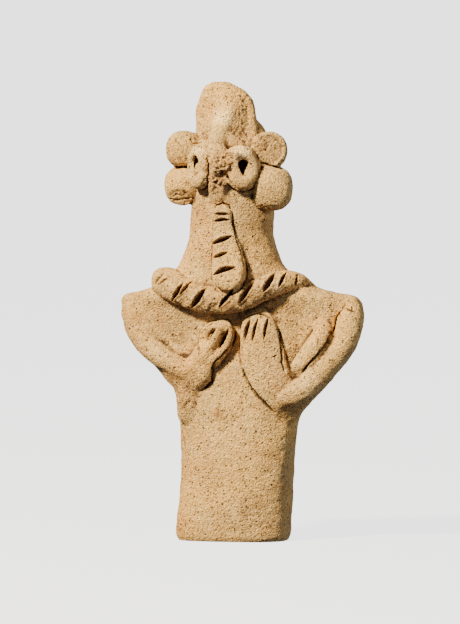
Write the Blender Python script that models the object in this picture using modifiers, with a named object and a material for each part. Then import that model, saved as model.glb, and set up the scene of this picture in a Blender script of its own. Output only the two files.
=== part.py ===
"""A hand-modelled standing figurine of fired clay, for Blender 4.5.

The figure faces -Y and stands on the flat underside of its pillar body, with +Z up and the
origin at the middle of that underside. Its maker pressed rolls and pellets of wet clay onto a
pinched core, so they are modelled one by one here, fused into one body and then carved.
Left and right are the figure's own: its left arm is at +X.
"""

import math

import bmesh
import bpy
import numpy as np
from mathutils import Matrix, Vector

# Driving sizes, in metres
FIGURE_HEIGHT = 0.160
SHOULDER_SPAN = 0.0868
BODY_DEPTH = 0.0248

# Thickness of the applied clay, in metres
ARM_THICKNESS = 0.0104
NECKLACE_WIDTH = 0.0102
HAND_WIDTH = 0.0150
FINGER_THICKNESS = 0.0036
BEARD_WIDTH = 0.0118
NOSE_THICKNESS = 0.0092
EAR_LOBE_WIDTH = 0.0126
EYE_WIDTH = 0.0124
EYE_COIL_THICKNESS = 0.0050

# Holes and carved strokes, in metres
EYE_HOLE_WIDTH = 0.0036
EYE_HOLE_DEPTH = 0.0060
NECKLACE_CUT_WIDTH = 0.0015
NECKLACE_CUT_DEPTH = 0.0028
BEARD_CUT_WIDTH = 0.0013
BEARD_CUT_DEPTH = 0.0016
FINGER_CUT_WIDTH = 0.0012
FINGER_CUT_DEPTH = 0.0017
SEAM_WIDTH = 0.0011
SEAM_DEPTH = 0.0010

# Fusing and meshing
CLAY_VOXEL = 0.0006
FUSE_PASSES = 3
TRIANGLES = 9000
RING_POINTS = 64
ROLL_POINTS = 20
ROWS_BETWEEN = 4

# The pose is written in the millimetres of a figure this tall, this wide and this deep
POSE_HEIGHT = 160.0
POSE_SPAN = 86.8
POSE_DEPTH = 24.8

CLAY_COLOUR = (0.55, 0.38, 0.22, 1.0)
CLAY_ROUGHNESS = 0.9

# The core. Each row is a level section: its height, its right and left edges, how far it
# reaches to the front and to the back, and how square it is.
CORE_SECTIONS = (
    (-2.0, -20.2, 18.4, 12.3, 12.1, 3.0),
    (0.4, -20.4, 18.6, 12.4, 12.2, 3.0),
    (3.2, -20.7, 19.1, 12.6, 12.2, 3.0),
    (12.3, -19.9, 19.6, 12.4, 12.0, 2.9),
    (27.7, -19.0, 20.5, 12.1, 11.5, 2.8),
    (36.0, -19.3, 21.2, 12.0, 11.2, 2.8),
    (41.6, -19.5, 22.2, 11.9, 10.9, 2.8),
    (45.8, -20.1, 23.9, 11.7, 10.6, 2.8),
    (51.4, -21.4, 27.0, 11.1, 10.0, 2.6),
    (57.0, -23.8, 32.2, 10.4, 9.3, 2.5),
    (61.2, -27.4, 35.6, 9.9, 8.9, 2.5),
    (65.4, -31.4, 39.4, 9.4, 8.4, 2.6),
    (69.6, -35.4, 42.6, 9.1, 8.0, 2.6),
    (73.8, -39.0, 44.6, 9.0, 7.8, 2.6),
    (78.0, -40.8, 45.3, 9.0, 7.8, 2.6),
    (81.0, -40.6, 45.0, 9.1, 7.8, 2.6),
    (83.6, -40.6, 44.4, 9.4, 7.9, 2.6),
    (85.4, -38.8, 41.6, 9.7, 8.1, 2.5),
    (87.2, -31.4, 32.4, 10.1, 8.4, 2.4),
    (91.0, -24.2, 22.0, 10.7, 9.0, 2.5),
    (94.8, -20.6, 17.8, 11.2, 9.6, 2.4),
    (99.0, -18.6, 15.5, 11.5, 10.3, 2.3),
    (105.9, -16.2, 13.2, 11.6, 10.8, 2.2),
    (114.3, -15.8, 13.3, 11.6, 11.1, 2.2),
    (122.0, -15.0, 12.0, 11.4, 11.0, 2.3),
    (131.0, -14.4, 10.8, 10.6, 9.6, 2.5),
    (138.0, -14.2, 9.0, 9.2, 7.6, 2.5),
    (142.3, -14.1, 7.9, 7.4, 6.0, 2.5),
    (147.9, -14.0, 7.1, 5.9, 5.0, 2.5),
    (150.7, -13.8, 6.6, 5.4, 4.7, 2.6),
    (153.6, -12.9, 5.6, 4.8, 4.3, 2.6),
    (156.0, -12.1, 3.4, 4.2, 3.8, 2.6),
    (157.9, -10.9, 0.4, 3.6, 3.3, 2.5),
    (159.0, -9.4, -1.8, 2.6, 2.4, 2.3),
    (159.6, -7.6, -4.0, 1.2, 1.2, 2.0),
)

# Rolls of clay. Each row is a point of the middle line and the share of the roll's thickness.
LEFT_ARM = (
    (40.4, -2.6, 82.0, 0.76), (41.6, -4.4, 78.4, 0.86), (41.3, -5.6, 74.4, 0.88),
    (39.8, -6.4, 69.6, 0.88), (37.0, -7.2, 65.3, 0.84), (33.7, -7.8, 61.3, 0.86),
    (29.2, -8.2, 56.7, 0.94), (24.8, -8.2, 52.8, 1.04), (20.4, -8.2, 50.4, 1.0),
)
LEFT_ELBOW = (
    (26.0, -4.4, 53.8, 0.88), (22.6, -5.8, 49.4, 0.88), (20.4, -6.4, 45.6, 0.77),
)
RIGHT_ARM = (
    (-35.8, -2.4, 79.0, 0.8), (-34.4, -3.8, 74.2, 0.87), (-30.2, -5.6, 68.6, 0.85),
    (-24.4, -7.4, 63.6, 0.77), (-19.0, -8.4, 60.6, 0.77), (-14.8, -8.8, 59.8, 0.81),
    (-11.4, -9.2, 61.6, 0.85), (-8.6, -9.6, 65.4, 0.81),
)
RIGHT_ELBOW = (
    (-17.6, -5.2, 57.0, 0.92), (-15.4, -6.0, 52.6, 0.92), (-15.2, -6.8, 48.2, 0.85),
    (-15.8, -7.4, 44.0, 0.69),
)
RIGHT_HEEL = (
    (-14.4, -7.6, 59.4, 0.88), (-13.6, -7.4, 56.0, 0.88), (-13.0, -7.0, 53.2, 0.73),
)
UNDER_ARM = (
    (-26.0, -3.4, 63.8, 0.77), (-21.4, -4.6, 59.2, 0.81), (-17.8, -5.6, 55.8, 0.85),
)
RIGHT_BREAST = (
    (-31.0, -1.8, 80.6, 1.0), (-28.4, -2.2, 76.2, 1.08), (-24.0, -2.6, 72.0, 1.12),
)
CHEST_ROLL = (
    (31.8, -7.4, 75.2, 0.56), (32.6, -8.2, 72.6, 0.69), (30.6, -8.6, 68.8, 0.77),
    (27.6, -8.7, 64.4, 0.77), (25.0, -8.5, 61.0, 0.69), (24.0, -8.0, 58.8, 0.58),
)
LEFT_HAND = (
    (18.4, -8.8, 50.6, 0.86), (15.2, -9.2, 55.2, 0.98), (12.9, -9.4, 60.4, 1.0),
    (11.4, -9.4, 66.6, 0.98), (10.5, -9.4, 71.8, 0.93), (10.1, -9.3, 74.6, 0.86),
)
RIGHT_PALM = (
    (-10.0, -9.0, 63.0, 0.56), (-6.8, -9.2, 67.0, 0.61), (-4.6, -9.2, 70.6, 0.64),
    (-3.4, -9.0, 72.6, 0.56),
)
RIGHT_WRIST = (
    (-8.4, -9.6, 63.6, 0.69), (-9.4, -9.6, 60.6, 0.75), (-9.9, -9.6, 57.9, 0.73),
    (-11.2, -9.2, 55.6, 0.62),
)
RIGHT_THUMB = (
    (-3.4, -11.4, 75.6, 0.83), (-1.2, -11.5, 75.3, 0.89), (0.0, -11.4, 73.4, 0.89),
    (-0.1, -11.2, 70.8, 0.89), (-1.2, -11.0, 68.2, 1.0), (-3.4, -10.8, 65.8, 1.28),
    (-6.4, -10.2, 63.4, 1.78),
)
RIGHT_FINGER = (
    (-3.2, -12.0, 74.4, 0.94), (-4.4, -12.4, 72.0, 1.0), (-5.6, -12.2, 69.6, 1.11),
    (-7.4, -11.4, 66.6, 1.44),
)
RIGHT_KNUCKLES = (
    (-4.0, -11.2, 75.2, 0.89), (-6.0, -10.5, 74.6, 1.0), (-8.0, -10.1, 73.2, 1.0),
    (-9.0, -9.8, 70.9, 1.0), (-9.0, -9.8, 68.2, 1.22),
)
NECKLACE = (
    (-24.4, 2.6, 90.2, 0.86), (-24.2, -2.2, 90.4, 1.02), (-22.2, -6.6, 89.4, 1.08),
    (-17.8, -8.9, 87.0, 1.06), (-11.4, -10.3, 84.8, 1.02), (-5.3, -11.0, 83.9, 1.0),
    (0.4, -11.0, 84.1, 1.0), (6.4, -10.6, 85.7, 0.98), (11.6, -9.8, 88.0, 0.94),
    (17.0, -8.0, 90.2, 0.88), (21.4, -4.8, 90.6, 0.78), (24.8, -2.0, 89.6, 0.49),
    (27.4, 0.4, 88.2, 0.24),
)
BEARD = (
    (-2.4, -11.7, 114.0, 0.56), (-2.3, -11.7, 111.6, 0.59), (-1.6, -11.7, 106.2, 0.73),
    (-0.6, -11.7, 100.8, 0.9), (-0.1, -12.4, 96.2, 1.0), (0.4, -14.2, 92.4, 0.95),
)
THROAT = (
    (-2.8, -10.6, 90.6, 0.46), (0.4, -10.8, 90.6, 0.49), (3.4, -10.6, 90.8, 0.46),
)
NOSE_RIDGE = (
    (-2.2, 0.4, 152.0, 1.17), (-2.6, -1.6, 148.4, 1.17), (-3.2, -4.0, 144.8, 1.0),
    (-4.4, -6.8, 141.6, 0.74), (-5.0, -9.4, 138.8, 0.61), (-4.2, -11.0, 135.6, 0.78),
    (-3.2, -11.8, 131.4, 0.96), (-3.4, -11.3, 127.6, 0.87), (-4.0, -10.4, 123.8, 0.83),
    (-4.0, -8.9, 119.8, 0.78),
)
BROW = (
    (-1.8, -6.4, 140.6, 0.57), (0.4, -7.0, 139.0, 0.57), (2.6, -7.4, 138.2, 0.48),
)
LEFT_EYE_COIL = (
    (-1.0, -12.4, 132.2, 1.08), (1.6, -13.0, 134.4, 1.04), (4.6, -12.5, 135.2, 1.04),
    (7.4, -10.9, 133.4, 1.0), (8.4, -10.1, 130.0, 0.96), (7.4, -10.8, 126.6, 1.08),
    (4.8, -12.0, 124.8, 1.2), (1.6, -12.9, 126.4, 1.0),
)
RIGHT_EYE_COIL = (
    (-7.6, -13.6, 130.6, 0.84), (-8.4, -13.3, 134.0, 1.0), (-10.6, -12.2, 135.4, 0.96),
    (-12.8, -10.7, 133.4, 0.76), (-13.5, -10.1, 130.4, 0.64), (-12.9, -10.7, 127.2, 0.84),
    (-10.8, -12.0, 125.0, 1.08), (-8.4, -13.0, 127.0, 0.92),
)
HAND_FLATNESS = 0.46
NECKLACE_FLATNESS = 0.86
BEARD_FLATNESS = 0.5
ROLL_SQUARENESS = 2.0
SLAB_SQUARENESS = 2.8
STRIP_SQUARENESS = 3.6
PELLET_SQUARENESS = 2.35

# Pellets of clay: the middle, the half sizes across, through and up as shares of the pellet's
# width, and the turn to the figure's left, in degrees
EAR_LOBES = (
    (-17.7, -3.2, 136.0, 0.5, 0.43, 0.52, -12.0),
    (-18.0, -3.4, 123.5, 0.52, 0.44, 0.55, -12.0),
    (12.8, -5.2, 136.0, 0.51, 0.43, 0.51, 12.0),
    (14.0, -5.8, 122.8, 0.57, 0.44, 0.62, 12.0),
)
HEAD_BACK = (-1.5, 3.6, 131.0, 1.05, 0.66, 1.42, 0.0)
LEFT_EYE = (4.6, -9.8, 130.6, 0.43, 0.32, 0.56, 20.0)
RIGHT_EYE = (-10.4, -10.2, 130.6, 0.4, 0.24, 0.55, -42.0)

# Eye holes: the middle, the share of the hole's width, the rise as a share of that width, and
# the turn to the figure's left, in degrees
LEFT_EYE_HOLE = (5.6, -13.2, 131.4, 1.0, 1.9, 20.0)
RIGHT_EYE_HOLE = (-12.0, -12.2, 132.0, 0.8, 1.8, -42.0)

# Carved strokes: the two ends, as x and z, and shares of the cut's width and depth
NECKLACE_CUTS = (
    (-27.3, 89.0, -23.3, 93.8, 0.6, 0.54), (-25.4, 88.8, -20.8, 92.2, 0.45, 0.38),
    (-20.2, 83.4, -16.0, 90.0, 0.85, 0.91), (-16.8, 85.9, -13.5, 90.5, 0.6, 0.7),
    (-12.9, 81.4, -7.9, 88.3, 1.2, 1.18), (-2.8, 81.6, 2.4, 88.2, 0.9, 1.13),
    (4.0, 83.0, 9.1, 91.0, 1.05, 1.18), (12.6, 87.2, 16.0, 93.8, 1.2, 0.86),
    (17.8, 88.8, 19.8, 94.0, 0.7, 0.75), (23.0, 89.0, 23.4, 93.0, 0.45, 0.43),
)
BEARD_CUTS = (
    (-5.2, 114.0, 0.6, 113.9, 0.75, 0.84), (-5.4, 111.4, 0.6, 111.9, 0.81, 0.94),
    (-5.8, 103.5, 1.4, 106.4, 1.1, 1.41), (-5.1, 98.8, 0.1, 101.0, 0.87, 0.94),
    (-4.6, 93.1, 3.2, 95.9, 1.15, 1.41),
)
FINGER_CUTS = (
    (5.2, 69.6, 7.4, 77.6, 1.06, 0.84), (8.3, 69.6, 10.3, 78.0, 0.81, 0.75),
    (12.5, 70.4, 13.9, 78.4, 0.94, 0.79), (-3.6, 67.2, 0.0, 74.2, 1.19, 1.15),
    (-8.0, 69.8, -4.2, 74.6, 1.44, 0.84), (-11.4, 68.6, -9.9, 66.2, 0.62, 0.71),
    (6.2, 55.4, 16.2, 44.6, 1.0, 1.15),
)

# Seams where applied clay meets the body, as x and z
SEAMS = (
    ((40.6, 84.0), (38.6, 80.8), (36.9, 78.2), (36.2, 74.4), (35.0, 70.4)),
    ((35.6, 72.4), (34.6, 69.8), (33.0, 67.4), (30.4, 64.4), (27.6, 61.4), (25.6, 59.0)),
    ((20.2, 58.6), (18.9, 62.2), (18.5, 67.9), (17.6, 72.8), (16.4, 75.6)),
    ((4.0, 61.6), (5.2, 58.0), (8.2, 52.8), (11.2, 49.4), (15.6, 45.4)),
    ((3.0, 73.4), (4.4, 76.8), (6.6, 78.8), (9.6, 79.6), (12.8, 79.0), (15.4, 77.4)),
    ((-6.1, 116.0), (-6.2, 111.0), (-6.4, 105.0), (-6.6, 100.0), (-6.7, 95.0), (-6.2, 91.4),
     (-4.6, 88.0), (-1.8, 86.2)),
    ((1.6, 115.6), (2.0, 110.4), (3.6, 105.0), (5.6, 100.0), (6.8, 95.2), (6.6, 91.6),
     (4.9, 87.6), (1.8, 86.0), (-1.8, 86.2)),
    ((-5.4, 115.4), (-4.4, 117.0), (-2.2, 117.8), (0.0, 117.0), (0.9, 115.4)),
    ((-24.6, 129.5), (-21.0, 129.6), (-17.0, 130.0), (-13.6, 130.0)),
    ((10.6, 131.8), (13.4, 131.0), (16.0, 130.2), (19.6, 129.4)),
    ((-7.5, 120.8), (-7.3, 124.4), (-6.6, 128.0), (-6.5, 131.4), (-7.0, 134.0)),
    ((-0.8, 127.8), (0.8, 125.4), (3.0, 123.0), (5.4, 121.6)),
    ((-10.2, 69.8), (-9.8, 72.6), (-8.4, 74.8), (-5.4, 76.3), (-3.2, 77.0), (-1.0, 77.1),
     (0.8, 75.8)),
    ((1.6, 74.0), (1.6, 70.9), (0.8, 68.4), (-0.7, 66.5), (-2.8, 64.3), (-5.0, 62.3),
     (-5.8, 60.4), (-5.9, 58.0), (-6.3, 55.6), (-8.2, 53.8), (-10.9, 51.9)),
)

# Thumb hollows: the middle, as x and z, the reach across and up, and the depth
HOLLOWS = (
    (-21.0, 74.0, 10.0, 6.0, 0.8), (-18.6, 70.4, 6.6, 4.0, 0.7), (25.0, 80.0, 9.0, 5.0, 0.6),
    (22.4, 68.6, 3.2, 7.0, 0.5), (23.0, 57.6, 3.0, 2.8, 0.8), (6.0, 149.4, 4.4, 9.0, 2.0),
    (-11.2, 148.0, 3.6, 9.0, 0.9), (4.6, 141.6, 5.0, 3.2, 1.2), (20.6, 43.2, 9.0, 4.4, 1.0),
    (-10.6, 141.0, 3.2, 3.0, 1.4), (-3.4, 117.2, 5.0, 2.0, 0.4), (5.4, 131.0, 2.6, 3.4, 0.7),
    (-11.8, 131.8, 1.6, 2.8, 0.5), (-8.4, 121.4, 1.8, 3.0, 0.5), (5.0, 120.6, 4.0, 1.8, 0.4),
    (6.4, 101.0, 1.6, 9.0, 0.3), (-1.6, 127.4, 2.2, 1.7, 2.0),
)

# Old breaks, worn flat: a point of the break, the way it faces, and how far it reaches
BREAKS = (
    (-2.2, -15.2, 131.0, 0.2, -1.0, 0.06, 6.4),
    (-4.0, -13.9, 124.0, -0.06, -1.0, -0.42, 5.4),
    (13.0, -7.7, 136.2, 0.3, -1.0, 0.06, 6.6),
    (4.4, -3.6, 155.0, 0.62, -0.62, 0.62, 8.0),
    (-18.4, -6.6, 119.2, -0.1, -1.0, -0.6, 5.0),
)
FRONT_LIMIT = -2.0


def place(x, y, z):
    """A point of the pose, in metres."""
    return Vector((
        x * SHOULDER_SPAN / POSE_SPAN,
        y * BODY_DEPTH / POSE_DEPTH,
        z * FIGURE_HEIGHT / POSE_HEIGHT,
    ))


def linked(name, mesh):
    """A new object of this mesh, in the scene's own collection."""
    piece = bpy.data.objects.new(name, mesh)
    bpy.context.scene.collection.objects.link(piece)
    return piece


def bake_modifiers(piece):
    """Gives the object the mesh that its modifiers make."""
    graph = bpy.context.evaluated_depsgraph_get()
    mesh = bpy.data.meshes.new_from_object(piece.evaluated_get(graph))
    piece.modifiers.clear()
    piece.data = mesh


def smooth_rows(rows, steps):
    """The rows with more between each two, on a smooth curve through them all."""
    table = np.array(rows, float)
    padded = np.vstack([2 * table[0] - table[1], table, 2 * table[-1] - table[-2]])
    found = []
    for before, here, after, beyond in zip(padded, padded[1:], padded[2:], padded[3:]):
        for step in range(steps):
            t = step / steps
            found.append(0.5 * (
                2 * here + (after - before) * t
                + (2 * before - 5 * here + 4 * after - beyond) * t ** 2
                + (3 * here - before - 3 * after + beyond) * t ** 3
            ))
    found.append(table[-1])
    return found


def loft(name, rings):
    """A closed body through rings of equally many points."""
    mesh = bmesh.new()
    rows = [[mesh.verts.new(point) for point in ring] for ring in rings]
    for below, above in zip(rows, rows[1:]):
        for index in range(len(below)):
            after = (index + 1) % len(below)
            mesh.faces.new((below[index], below[after], above[after], above[index]))
    mesh.faces.new(list(reversed(rows[0])))
    mesh.faces.new(rows[-1])
    bmesh.ops.recalc_face_normals(mesh, faces=mesh.faces)
    data = bpy.data.meshes.new(name)
    mesh.to_mesh(data)
    mesh.free()
    return linked(name, data)


def rounded(angle, squareness):
    """The cosine and sine of a circle that is pressed towards a square."""
    power = 2 / squareness
    across, through = math.cos(angle), math.sin(angle)
    return math.copysign(abs(across) ** power, across), math.copysign(abs(through) ** power, through)


def section_ring(row):
    """One level section of the core, a superellipse that reaches unlike to front and back."""
    height, right, left, front, back, squareness = row
    ring = []
    for index in range(RING_POINTS):
        across, through = rounded(2 * math.pi * index / RING_POINTS, squareness)
        middle = (left + right) / 2
        reach = back if through > 0 else front
        ring.append(place(middle + (left - right) / 2 * across, reach * through, height))
    return ring


def model_core():
    """The pinched core: pillar, shoulders, neck, head and crest."""
    return loft("core", [section_ring(row) for row in smooth_rows(CORE_SECTIONS, ROWS_BETWEEN)])


def model_roll(name, rows, thickness, flatness=1.0, squareness=ROLL_SQUARENESS):
    """A roll of clay with rounded ends along the rows' points, pressed flat from the front."""
    points = smooth_rows(rows, ROWS_BETWEEN)
    path = [(place(*row[:3]), row[3] * thickness / 2) for row in points]
    start, start_radius = path[0]
    finish, finish_radius = path[-1]
    backward = (start - path[1][0]).normalized()
    forward = (finish - path[-2][0]).normalized()
    for degrees in (30, 55, 75, 88):
        reach = math.sin(math.radians(degrees))
        share = math.cos(math.radians(degrees))
        path.insert(0, (start + backward * start_radius * reach, start_radius * share))
        path.append((finish + forward * finish_radius * reach, finish_radius * share))
    side = Vector((0.0, 1.0, 0.0)).cross(backward).normalized()
    rings = []
    for index, (middle, radius) in enumerate(path):
        ahead = path[min(index + 1, len(path) - 1)][0] - path[max(index - 1, 0)][0]
        ahead.normalize()
        side = (side - ahead * side.dot(ahead)).normalized()
        other = ahead.cross(side)
        ring = []
        for step in range(ROLL_POINTS):
            across, through = rounded(2 * math.pi * step / ROLL_POINTS, squareness)
            ring.append(middle + (side * across + other * through * flatness) * radius)
        rings.append(ring)
    return loft(name, rings)


def model_pellet(name, row, width):
    """A pellet of clay pressed onto the head."""
    x, y, z, across, through, up, turn = row
    mesh = bmesh.new()
    bmesh.ops.create_icosphere(mesh, subdivisions=4, radius=1.0)
    for vertex in mesh.verts:
        spread = sum(abs(part) ** PELLET_SQUARENESS for part in vertex.co)
        vertex.co /= spread ** (1 / PELLET_SQUARENESS)
    bmesh.ops.transform(mesh, matrix=(
        Matrix.Translation(place(x, y, z))
        @ Matrix.Rotation(math.radians(turn), 4, "Z")
        @ Matrix.Diagonal((across * width, through * width, up * width, 1.0))
    ), verts=mesh.verts)
    data = bpy.data.meshes.new(name)
    mesh.to_mesh(data)
    mesh.free()
    return linked(name, data)


def fuse(name, pieces):
    """One body of all the pieces, with the clay smeared smooth where they meet."""
    mesh = bmesh.new()
    for piece in pieces:
        mesh.from_mesh(piece.data)
        bpy.data.objects.remove(piece)
    data = bpy.data.meshes.new(name)
    mesh.to_mesh(data)
    mesh.free()
    body = linked(name, data)
    remesh = body.modifiers.new("fuse", "REMESH")
    remesh.mode = "VOXEL"
    remesh.voxel_size = CLAY_VOXEL
    smear = body.modifiers.new("smear", "SMOOTH")
    smear.factor = 0.5
    smear.iterations = FUSE_PASSES
    bake_modifiers(body)
    return body


def stroke_share(points, ends):
    """How far each point, as x and z, is from the stroke between the two ends, in metres."""
    start, finish = np.array(ends[0]), np.array(ends[1])
    along = finish - start
    share = np.clip((points - start) @ along / (along @ along), 0.0, 1.0)
    return np.linalg.norm(points - start - share[:, None] * along, axis=1)


def flat(x, z):
    """A point of the front view, in metres."""
    point = place(x, 0.0, z)
    return point.x, point.z


def carve(body):
    """Carves the strokes, the seams, the hollows and the breaks into the front."""
    mesh = body.data
    count = len(mesh.vertices)
    places = np.empty(count * 3)
    normals = np.empty(count * 3)
    mesh.vertices.foreach_get("co", places)
    mesh.vertex_normals.foreach_get("vector", normals)
    places = places.reshape(count, 3)
    normals = normals.reshape(count, 3)
    seen = places[:, (0, 2)]
    facing = np.clip(-normals[:, 1] * 1.8 - 0.35, 0.0, 1.0)
    facing[places[:, 1] > place(0.0, FRONT_LIMIT, 0.0).y] = 0.0
    sink = np.zeros(count)
    strokes = [
        (cut, width, depth)
        for cuts, width, depth in (
            (NECKLACE_CUTS, NECKLACE_CUT_WIDTH, NECKLACE_CUT_DEPTH),
            (BEARD_CUTS, BEARD_CUT_WIDTH, BEARD_CUT_DEPTH),
            (FINGER_CUTS, FINGER_CUT_WIDTH, FINGER_CUT_DEPTH),
        )
        for cut in cuts
    ]
    for seam in SEAMS:
        for start, finish in zip(seam, seam[1:]):
            strokes.append(((*start, *finish, 1.0, 1.0), SEAM_WIDTH, SEAM_DEPTH))
    for (x1, z1, x2, z2, wider, deeper), width, depth in strokes:
        away = stroke_share(seen, (flat(x1, z1), flat(x2, z2))) / (width * wider / 1.4)
        sink = np.maximum(sink, depth * deeper * np.exp(-away ** 2))
    for x, z, across, up, depth in HOLLOWS:
        middle = np.array(flat(x, z))
        reach = np.array(flat(across, up))
        away = np.linalg.norm((seen - middle) / reach, axis=1)
        sink += place(0.0, depth, 0.0).y * np.exp(-away ** 2 * 1.4)
    places -= normals * (sink * facing)[:, None]
    for x, y, z, face_x, face_y, face_z, reach in BREAKS:
        middle = np.array(place(x, y, z))
        outward = np.array(Vector((face_x, face_y, face_z)).normalized())
        above = (places - middle) @ outward
        edge = place(0.0, 0.0, 1.6).z
        away = np.linalg.norm(places - middle, axis=1)
        near = np.clip((place(0.0, 0.0, reach).z - away) / edge, 0.0, 1.0)
        places -= outward * (np.maximum(above, 0.0) * near)[:, None]
    mesh.vertices.foreach_set("co", places.ravel())
    mesh.update()


def facet(body):
    """Brings the body down to the faces that a solid can carry."""
    triangles = sum(len(face.vertices) - 2 for face in body.data.polygons)
    lighten = body.modifiers.new("lighten", "DECIMATE")
    lighten.ratio = TRIANGLES / triangles
    bake_modifiers(body)


def hole_cutter(name, row):
    """The cutter of one eye hole, a round pit that narrows to a point below and inwards."""
    x, y, z, share, rise, turn = row
    half = EYE_HOLE_WIDTH * share / 2
    rings = []
    for reach, size in ((-1.4, 1.12), (0.0, 1.0), (0.6, 0.8), (1.0, 0.4)):
        ring = []
        for step in range(16):
            angle = 2 * math.pi * step / 16
            up = math.sin(angle)
            pinch = 1.0 if up > 0 else 1.0 - 0.55 * up ** 2
            ring.append(Vector((
                half * size * math.cos(angle) * pinch,
                EYE_HOLE_DEPTH * reach,
                half * size * up * (rise if up < 0 else 1.0),
            )))
        rings.append(ring)
    cutter = loft(name, rings)
    cutter.data.transform(
        Matrix.Translation(place(x, y, z)) @ Matrix.Rotation(math.radians(turn), 4, "Z")
    )
    return cutter


def underside_cutter():
    """The block that trims the foot flat, with its top in the ground plane."""
    wide = SHOULDER_SPAN
    deep = BODY_DEPTH * 2
    low = -FIGURE_HEIGHT / 8
    rings = [
        [Vector((x * wide, y * deep, z)) for x, y in ((-1, -1), (1, -1), (1, 1), (-1, 1))]
        for z in (low, 0.0)
    ]
    return loft("cutter_underside", rings)


def cut(body, cutters):
    """Takes the cutters out of the body."""
    for cutter in cutters:
        modifier = body.modifiers.new(cutter.name, "BOOLEAN")
        modifier.operation = "DIFFERENCE"
        modifier.solver = "EXACT"
        modifier.object = cutter
    bake_modifiers(body)


def clay():
    """The fired clay."""
    material = bpy.data.materials.new("fired_clay")
    material.use_nodes = True
    shader = material.node_tree.nodes["Principled BSDF"]
    shader.inputs["Base Color"].default_value = CLAY_COLOUR
    shader.inputs["Roughness"].default_value = CLAY_ROUGHNESS
    return material


def main():
    for left_over in list(bpy.data.objects):
        bpy.data.objects.remove(left_over)
    pieces = [
        model_core(),
        model_roll("left_arm", LEFT_ARM, ARM_THICKNESS),
        model_roll("left_elbow", LEFT_ELBOW, ARM_THICKNESS),
        model_roll("right_arm", RIGHT_ARM, ARM_THICKNESS),
        model_roll("right_elbow", RIGHT_ELBOW, ARM_THICKNESS),
        model_roll("right_heel", RIGHT_HEEL, ARM_THICKNESS),
        model_roll("under_arm", UNDER_ARM, ARM_THICKNESS),
        model_roll("right_breast", RIGHT_BREAST, ARM_THICKNESS),
        model_roll("chest_roll", CHEST_ROLL, ARM_THICKNESS),
        model_roll("left_hand", LEFT_HAND, HAND_WIDTH, HAND_FLATNESS, SLAB_SQUARENESS),
        model_roll("right_palm", RIGHT_PALM, HAND_WIDTH, HAND_FLATNESS, SLAB_SQUARENESS),
        model_roll("right_wrist", RIGHT_WRIST, ARM_THICKNESS),
        model_roll("right_thumb", RIGHT_THUMB, FINGER_THICKNESS),
        model_roll("right_finger", RIGHT_FINGER, FINGER_THICKNESS),
        model_roll("right_knuckles", RIGHT_KNUCKLES, FINGER_THICKNESS),
        model_roll("necklace", NECKLACE, NECKLACE_WIDTH, NECKLACE_FLATNESS),
        model_roll("beard", BEARD, BEARD_WIDTH, BEARD_FLATNESS, STRIP_SQUARENESS),
        model_roll("throat", THROAT, BEARD_WIDTH),
        model_roll("nose_ridge", NOSE_RIDGE, NOSE_THICKNESS),
        model_roll("brow", BROW, NOSE_THICKNESS),
        model_roll("left_eye_coil", LEFT_EYE_COIL, EYE_COIL_THICKNESS),
        model_roll("right_eye_coil", RIGHT_EYE_COIL, EYE_COIL_THICKNESS),
        model_pellet("head_back", HEAD_BACK, EAR_LOBE_WIDTH),
        model_pellet("left_eye", LEFT_EYE, EYE_WIDTH),
        model_pellet("right_eye", RIGHT_EYE, EYE_WIDTH),
    ]
    for number, row in enumerate(EAR_LOBES):
        pieces.append(model_pellet("ear_lobe_%d" % number, row, EAR_LOBE_WIDTH))
    figurine = fuse("figurine", pieces)
    carve(figurine)
    facet(figurine)
    cutters = [
        hole_cutter("cutter_left_eye", LEFT_EYE_HOLE),
        hole_cutter("cutter_right_eye", RIGHT_EYE_HOLE),
        underside_cutter(),
    ]
    cut(figurine, cutters)
    figurine.data.materials.clear()
    figurine.data.materials.append(clay())
    figurine.data.shade_smooth()
    parts = bpy.data.collections.new("figurine")
    tools = bpy.data.collections.new("cutters")
    bpy.context.scene.collection.children.link(parts)
    bpy.context.scene.collection.children.link(tools)
    for piece, home in [(figurine, parts)] + [(cutter, tools) for cutter in cutters]:
        bpy.context.scene.collection.objects.unlink(piece)
        home.objects.link(piece)
    for cutter in cutters:
        cutter.hide_render = True
        cutter.display_type = "WIRE"


main()
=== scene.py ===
"""The looks of a hand-modelled standing figurine of fired clay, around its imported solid.

It is made the way its maker made it: a pinched core, rolls and pellets of wet clay pressed on,
the strokes carved, and then the breaks, the wear and the dirt of its long burial.
Left and right are the figure's own: its left arm is at +X. Tables are in millimetres.
"""

import math

import bmesh
import bpy
import numpy as np
from mathutils import Matrix, Vector, noise


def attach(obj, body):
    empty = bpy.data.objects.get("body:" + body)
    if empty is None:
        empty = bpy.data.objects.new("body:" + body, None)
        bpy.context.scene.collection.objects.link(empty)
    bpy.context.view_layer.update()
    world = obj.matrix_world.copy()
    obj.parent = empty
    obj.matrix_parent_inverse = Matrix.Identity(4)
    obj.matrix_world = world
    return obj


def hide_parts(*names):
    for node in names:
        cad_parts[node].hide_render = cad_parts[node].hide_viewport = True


MM = 0.001

# The photograph's frame and view
PHOTO_HEIGHT = 624
PHOTO_SCALE = 0.349 * MM
VIEW_AZIMUTH = math.radians(12.0)
VIEW_HEIGHT = math.radians(3.0)
VIEW_DISTANCE = 2.2
SENSOR_HEIGHT = 24.0
FRAME_MIDDLE_ACROSS = -2.09 * MM
FRAME_MIDDLE_UP = 79.27 * MM

# Clay and mesh
CLAY_VOXEL = 0.33 * MM
SMEAR_PASSES = 2
CORE_POINTS = 72
ROLL_POINTS = 24
ROWS_BETWEEN = 4
PELLET_SQUARENESS = 2.35
ROLL_END_ANGLES = (25, 48, 66, 80, 88)
MOST_TRIANGLES = 194000

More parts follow.
